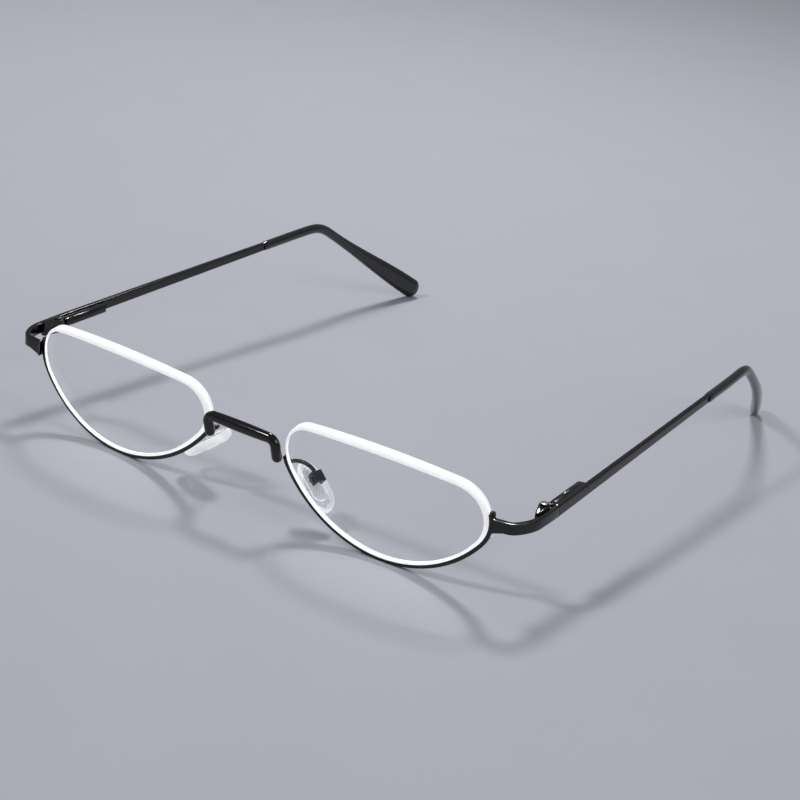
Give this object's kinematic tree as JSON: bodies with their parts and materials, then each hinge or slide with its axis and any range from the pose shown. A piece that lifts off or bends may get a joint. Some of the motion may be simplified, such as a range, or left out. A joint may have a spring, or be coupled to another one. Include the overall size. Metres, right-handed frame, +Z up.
{
  "type": "half-moon reading glasses",
  "caption": "Half-moon reading glasses with an under-rim metal front, spring hinges that fold and flex, tilting nose pads and slim temples with drop-end tips.",
  "frame": {"origin": "On the surface that the open glasses stand on, under the middle of their box", "axes": "+Z up, the front faces -Y, the temples run towards +Y and the wearer's left is +X"},
  "size_m": [0.1368, 0.1586, 0.027],
  "materials": {
    "black_metal": "glossy black gunmetal plating",
    "steel": "bright plain steel",
    "lens": "clear, polished faces and a frosted white edge",
    "nylon": "clear drawn nylon",
    "silicone": "clear soft silicone, glossy",
    "pad_core": "clear hard plastic",
    "tip_plastic": "glossy black moulded plastic"
  },
  "bodies": {
    "front": {"bridge": "black_metal", "rim_left": "black_metal", "rim_right": "black_metal", "rim_liner_left": "nylon", "rim_liner_right": "nylon", "lens_left": "lens", "lens_right": "lens", "lens_cord_left": "nylon", "lens_cord_right": "nylon", "pad_arm_left": "black_metal", "pad_arm_right": "black_metal", "pad_box_left": "black_metal", "pad_box_right": "black_metal", "pad_screw_left": "steel", "pad_screw_right": "steel", "endpiece_left": "black_metal", "endpiece_right": "black_metal", "hinge_leaf_left": "black_metal", "hinge_leaf_right": "black_metal"},
    "pad_left": {"nose_pad_left": "silicone", "pad_core_left": "pad_core"},
    "screw_left": {"hinge_screw_left": "steel"},
    "slider_left": {"hinge_slider_left": "steel", "slider_nut_left": "steel"},
    "temple_left": {"temple_arm_left": "black_metal", "spring_box_left": "black_metal", "temple_tip_left": "tip_plastic", "flex_spring_left": "steel"},
    "pad_right": {"nose_pad_right": "silicone", "pad_core_right": "pad_core"},
    "screw_right": {"hinge_screw_right": "steel"},
    "slider_right": {"hinge_slider_right": "steel", "slider_nut_right": "steel"},
    "temple_right": {"temple_arm_right": "black_metal", "spring_box_right": "black_metal", "temple_tip_right": "tip_plastic", "flex_spring_right": "steel"}
  },
  "joints": [
    {"name": "pad_tilt_left", "type": "hinge", "parent": "front", "child": "pad_left", "pos_m": [0.01535, -0.06863, 0.01071], "axis": [0.2759, 0.9596, 0.0547], "range_deg": [-12, 12]},
    {"name": "flex_left", "type": "hinge", "parent": "front", "child": "screw_left", "pos_m": [0.0659, -0.06177, 0.01885], "axis": [0, -0.0612, 0.9981], "range_deg": [-12, 0], "stiffness_Nm_per_rad": 0.25},
    {"name": "fold_left", "type": "hinge", "parent": "screw_left", "child": "slider_left", "pos_m": [0.0659, -0.06177, 0.01885], "axis": [0, -0.0612, 0.9981], "range_deg": [0, 88]},
    {"name": "pull_left", "type": "slide", "parent": "slider_left", "child": "temple_left", "axis": [-0.0384, 0.9974, 0.0611], "range_m": [0, 0.0006], "deforming": ["flex_spring_left"]},
    {"name": "pad_tilt_right", "type": "hinge", "parent": "front", "child": "pad_right", "pos_m": [-0.01535, -0.06863, 0.01071], "axis": [0.2759, -0.9596, -0.0547], "range_deg": [-12, 12]},
    {"name": "flex_right", "type": "hinge", "parent": "front", "child": "screw_right", "pos_m": [-0.0659, -0.06177, 0.01885], "axis": [0, 0.0612, -0.9981], "range_deg": [-12, 0], "stiffness_Nm_per_rad": 0.25},
    {"name": "fold_right", "type": "hinge", "parent": "screw_right", "child": "slider_right", "pos_m": [-0.0659, -0.06177, 0.01885], "axis": [0, 0.0612, -0.9981], "range_deg": [0, 84]},
    {"name": "pull_right", "type": "slide", "parent": "slider_right", "child": "temple_right", "axis": [0.0384, 0.9974, 0.0611], "range_m": [0, 0.0006], "deforming": ["flex_spring_right"]}
  ],
  "couplings": [
    {"joint": "pull_left", "follows": "flex_left", "m_per_rad": -0.002674},
    {"joint": "pull_right", "follows": "flex_right", "m_per_rad": -0.002674}
  ]
}
